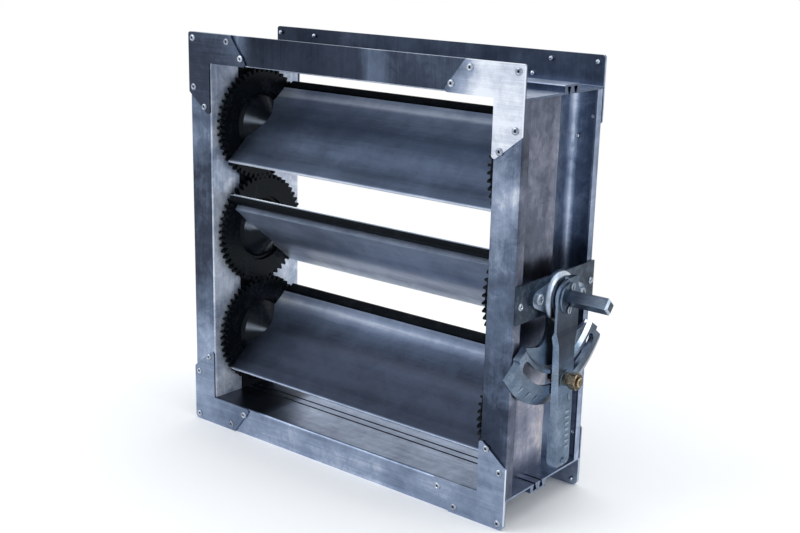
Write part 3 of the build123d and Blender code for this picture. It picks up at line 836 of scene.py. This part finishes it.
def turned_rivets(node_name, axis):
    """Turned rivets in place of the plain ones of a node, with their heads along the axis."""
    verts, faces, dark = [], [], []
    axis = Vector(axis)
    groups = islands(nodes[node_name].data)
    for group in groups:
        heights = [place.dot(axis) for place in group]
        top, bottom = max(heights), min(heights)
        low = Vector(min(place[index] for place in group) for index in range(3))
        high = Vector(max(place[index] for place in group) for index in range(3))
        middle = (low + high) / 2
        seat = middle + axis * (top - HEAD_HEIGHT + HEAD_LIFT - middle.dot(axis))
        lathe(rivet_section(top - bottom - HEAD_HEIGHT), seat, axis, verts, faces, dark)
    metals = [rivet_metal, pit_shade_metal]
    made = piece("turned_" + node_name, verts, faces, metals, "frame")
    for face, is_dark in zip(made.data.polygons, dark):
        face.material_index = int(is_dark)
        face.use_smooth = True
    made.data.update()
    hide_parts(node_name)
    print(node_name, "rivets:", len(groups))


turned_rivets("rivets_front", (0, -1, 0))
turned_rivets("rivets_rear", (0, 1, 0))
turned_rivets("mounting_strip_rivets", (1, 0, 0))

# %% [markdown]
# The lever and the sector carry plain cast marks: an arrow below the lock bolt, a row of short
# bars on the grip, and three index bars on the outer bevel of the sector. Each mark is a low
# raised prism that is laid on the casting: a ray from outside finds the height there. Their
# places are in millimetres, as (y, z) on the side where the lever is.

# %% Cast marks
MARK_RISE = 0.6 * MM
MARK_SINK = 0.3 * MM
MARK_TAPER = 0.82
MARK_LEVEL = 0.66
RAY_START_X = 0.4
CORNER_SIGNS = ((-1, -1), (1, -1), (1, 1), (-1, 1))
ARROW = [(4.4, -79.5), (7.4, -88.0), (5.8, -85.6), (4.4, -88.0)]
GRIP_BARS = 7
GRIP_BAR_Y = 3.6
GRIP_BAR_TOP = -96.0
GRIP_BAR_STEP = 5.0
GRIP_BAR_SIZE = (5.6, 2.2)
SECTOR_BARS = ((-53.0, -64.5), (-42.5, -71.5), (-31.0, -77.5))
SECTOR_BAR_SIZE = (5.4, 1.9)
SECTOR_BAR_ANGLE = 52
mark_casting = cast_zinc("cast_marks", lambda cast: MARK_LEVEL)


def surface_x(node_name, y, z):
    """The height of a casting at a place, found by a ray from the lever side."""
    outside = Vector((RAY_START_X, y, z))
    hit, place, _, _ = nodes[node_name].ray_cast(outside, Vector((-1, 0, 0)))
    return place.x if hit else None


def raised(node_name, outline, verts, faces):
    """Add a low prism, a little smaller at its top, whose outline lies on a casting."""
    start, count = len(verts), len(outline)
    middle_y = sum(y for y, _ in outline) / count
    middle_z = sum(z for _, z in outline) / count
    for rise, shrink in ((-MARK_SINK, 1.0), (MARK_RISE, MARK_TAPER)):
        for y, z in outline:
            place_y = (middle_y + (y - middle_y) * shrink) * MM
            place_z = (middle_z + (z - middle_z) * shrink) * MM
            verts.append(Vector((surface_x(node_name, y * MM, z * MM) + rise, place_y, place_z)))
    faces.append([start + count + index for index in range(count)])
    for index in range(count):
        after = (index + 1) % count
        faces.append([start + index, start + after, start + count + after, start + count + index])


def bar_outline(y, z, size, angle=0):
    """Corners of a bar at a place, turned by an angle in degrees."""
    along = Vector((cos(radians(angle)), sin(radians(angle)))) * (size[0] / 2)
    aside = Vector((-sin(radians(angle)), cos(radians(angle)))) * (size[1] / 2)
    return [tuple(Vector((y, z)) + along * a + aside * b) for a, b in CORNER_SIGNS]


lever_verts, lever_faces = [], []
raised("lever", ARROW, lever_verts, lever_faces)
for step in range(GRIP_BARS):
    grip_bar = bar_outline(GRIP_BAR_Y, GRIP_BAR_TOP - GRIP_BAR_STEP * step, GRIP_BAR_SIZE)
    raised("lever", grip_bar, lever_verts, lever_faces)
piece("lever_marks", lever_verts, lever_faces, [mark_casting], "middle_blade")

sector_verts, sector_faces = [], []
for y, z in SECTOR_BARS:
    sector_bar = bar_outline(y, z, SECTOR_BAR_SIZE, SECTOR_BAR_ANGLE)
    raised("locking_quadrant", sector_bar, sector_verts, sector_faces)
piece("sector_marks", sector_verts, sector_faces, [mark_casting], "frame")
print("marks:", len(lever_faces) + len(sector_faces), "faces")

# %% [markdown]
# The damper stands on a pale floor. Near the damper the floor is painted and keeps the shadow.
# Further out it turns into the white of the background for the rays that show it, so that no
# horizon shows.

# %% Floor
FLOOR_SIZE = 12.0
FLOOR_FADE = (0.28, 0.62)
FLOOR_STOPS = [(0.0, (0.93, 0.94, 0.95)), (1.0, (0.96, 0.965, 0.97))]
FLOOR_ROUGH = 0.9
WHITE = (1, 1, 1, 1)
floor_z = cad_box[0][2]


def seen_rays(path):
    """1 for the rays that show the background: camera, glossy and transmission rays."""
    return path["Is Camera Ray"] + path["Is Glossy Ray"] + path["Is Transmission Ray"]


def floor_paint():
    """Pale matt paint that fades with the distance into a white glow."""
    paint = Finish("pale_floor")
    tone = paint.ramp(paint.noise(8, 3), FLOOR_STOPS)
    matt = paint.node("ShaderNodeBsdfPrincipled", None, {"Base Color": tone, "Roughness": FLOOR_ROUGH})
    glow = paint.node("ShaderNodeEmission", None, {"Color": WHITE, "Strength": 1.0})
    flat = {0: paint.scaled((1, 1, 0))}
    distance = paint.node("ShaderNodeVectorMath", {"operation": "LENGTH"}, flat)["Value"]
    seen = seen_rays(paint.node("ShaderNodeLightPath"))
    far = paint.spread(distance, *FLOOR_FADE) * seen
    mixed = paint.node("ShaderNodeMixShader", None, {0: far, 1: matt[0], 2: glow[0]})
    paint.node("ShaderNodeOutputMaterial", None, {"Surface": mixed[0]})
    return paint.material


half = FLOOR_SIZE / 2
floor_mesh = bpy.data.meshes.new("floor")
floor_mesh.from_pydata([(half * a, half * b, floor_z) for a, b in CORNER_SIGNS], [], [(0, 1, 2, 3)])
floor_mesh.materials.append(floor_paint())
floor = bpy.data.objects.new("floor", floor_mesh)
bpy.context.scene.collection.objects.link(floor)
print("floor height:", round(floor_z, 3))

# %% [markdown]
# Three wide lamps give soft light with faint shadows: the strongest from the front left, one from
# the right and one from above. Area lamps are used, because their size softens the shadows.

# %% Lamps
LAMPS = {
    "key_lamp": ((-1.4, -1.6, 1.6), (2.0, 2.0), 26),
    "side_lamp": ((2.2, 0.3, 0.9), (1.4, 1.8), 14),
    "top_lamp": ((0.2, 0.5, 2.2), (2.0, 2.0), 18),
}


def lamp(name, place, size, power):
    """A soft lamp that points at the middle of the damper."""
    data = bpy.data.lights.new(name, "AREA")
    data.shape = "RECTANGLE"
    data.size, data.size_y = size
    data.energy = power
    made = bpy.data.objects.new(name, data)
    bpy.context.scene.collection.objects.link(made)
    made.location = place
    made.rotation_euler = (-Vector(place)).to_track_quat("-Z", "Y").to_euler()


for lamp_name, (place, size, power) in LAMPS.items():
    lamp(lamp_name, place, size, power)
print("lamps:", len(LAMPS))

# %% [markdown]
# Metal shows the room that it mirrors, so the white of the background is given to camera, glossy
# and transmission rays alike. All other rays find a slightly cooler and weaker room, which lights
# the damper from every side.

# %% World
ROOM_TONE = (0.94, 0.97, 1.0, 1)
ROOM_STRENGTH = 0.75

world = bpy.data.worlds.new("studio")
bpy.context.scene.world = world
studio = NodeTree(world)
shown = seen_rays(studio.node("ShaderNodeLightPath"))
room = studio.node("ShaderNodeBackground", None, {"Color": ROOM_TONE, "Strength": ROOM_STRENGTH})
white = studio.node("ShaderNodeBackground", None, {"Color": WHITE})
mixed = studio.node("ShaderNodeMixShader", None, {0: shown, 1: room[0], 2: white[0]})
studio.node("ShaderNodeOutputWorld", None, {"Surface": mixed[0]})
print("world:", world.name, "room strength:", ROOM_STRENGTH)
